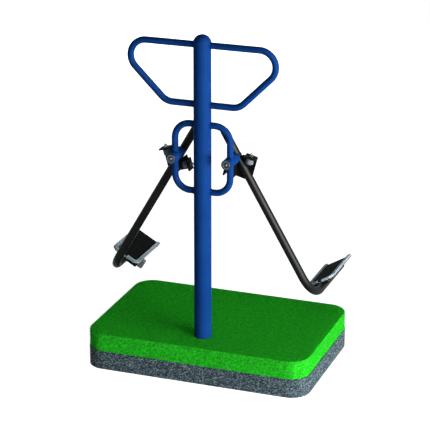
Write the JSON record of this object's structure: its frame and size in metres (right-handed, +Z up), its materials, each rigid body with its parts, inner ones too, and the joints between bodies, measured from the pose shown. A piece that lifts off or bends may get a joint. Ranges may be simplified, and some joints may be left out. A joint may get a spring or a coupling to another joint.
{
  "type": "outdoor leg swing trainer",
  "caption": "Outdoor leg swing trainer: a post in a turf-topped gravel block carries a bent handlebar and two bent legs that swing sideways in bearing hubs, each ending in a foot pedal.",
  "frame": {"origin": "middle of the ground block's underside, midway between the outer edges of the two pedals", "axes": "+Z up along the post; +X from the left leg to the right leg as seen from the front; +Y from the post towards the user's side, where the pedals point"},
  "size_m": [1.2288, 0.8, 1.79],
  "materials": {
    "gravel": "matte",
    "turf": "matte",
    "blue_powder_coat": "satin",
    "black_powder_coat": "matte",
    "black_satin_coat": "satin",
    "galvanised_steel": "satin",
    "stainless_steel": "brushed",
    "bearing_steel": "polished",
    "black_plastic": "matte",
    "buffer_rubber": "matte",
    "brushed_aluminium": "satin",
    "tread_rubber": "matte",
    "grey_rubber": "matte"
  },
  "bodies": {
    "frame": {"gravel_bed": "gravel", "turf_layer": "turf", "post_tube": "blue_powder_coat", "post_cap": "blue_powder_coat", "foot_plate": "galvanised_steel", "anchor_bolts": "galvanised_steel", "anchor_nuts": "galvanised_steel", "left_handlebar": "blue_powder_coat", "right_handlebar": "blue_powder_coat", "left_upper_bow": "blue_powder_coat", "right_upper_bow": "blue_powder_coat", "left_lower_bow": "blue_powder_coat", "right_lower_bow": "blue_powder_coat", "left_hub": "blue_powder_coat", "right_hub": "blue_powder_coat", "left_stop_lug": "black_powder_coat", "right_stop_lug": "black_powder_coat", "bearing_outer_rings": "bearing_steel", "bearing_circlips": "bearing_steel"},
    "left_leg": {"left_inner_rings": "bearing_steel", "left_bearing_balls": "bearing_steel", "left_bearing_spacer": "bearing_steel", "left_spindle": "galvanised_steel", "left_spindle_nut": "galvanised_steel", "left_front_disc": "stainless_steel", "left_disc_screw": "stainless_steel", "left_leg_tube": "black_satin_coat", "left_pivot_sleeve": "black_satin_coat", "left_tube_plugs": "black_plastic", "left_stop_wings": "black_powder_coat", "left_buffers": "buffer_rubber", "left_buffer_studs": "galvanised_steel", "left_pedal_brackets": "black_powder_coat", "left_pedal_plate": "brushed_aluminium", "left_inner_rim": "brushed_aluminium", "left_outer_rim": "brushed_aluminium", "left_tread_mat": "tread_rubber", "left_pedal_bolts": "galvanised_steel", "left_pedal_bumper": "grey_rubber"},
    "right_leg": {"right_inner_rings": "bearing_steel", "right_bearing_balls": "bearing_steel", "right_bearing_spacer": "bearing_steel", "right_spindle": "galvanised_steel", "right_spindle_nut": "galvanised_steel", "right_front_disc": "stainless_steel", "right_disc_screw": "stainless_steel", "right_leg_tube": "black_satin_coat", "right_pivot_sleeve": "black_satin_coat", "right_tube_plugs": "black_plastic", "right_stop_wings": "black_powder_coat", "right_buffers": "buffer_rubber", "right_buffer_studs": "galvanised_steel", "right_pedal_brackets": "black_powder_coat", "right_pedal_plate": "brushed_aluminium", "right_inner_rim": "brushed_aluminium", "right_outer_rim": "brushed_aluminium", "right_tread_mat": "tread_rubber", "right_pedal_bolts": "galvanised_steel", "right_pedal_bumper": "grey_rubber"}
  },
  "joints": [
    {"name": "left_swing", "type": "hinge", "parent": "frame", "child": "left_leg", "pos_m": [-0.146, -0.236, 1.154], "axis": [0, -1, 0], "range_deg": [0, 33]},
    {"name": "right_swing", "type": "hinge", "parent": "frame", "child": "right_leg", "pos_m": [0.146, -0.236, 1.154], "axis": [0, 1, 0], "range_deg": [0, 33]}
  ]
}
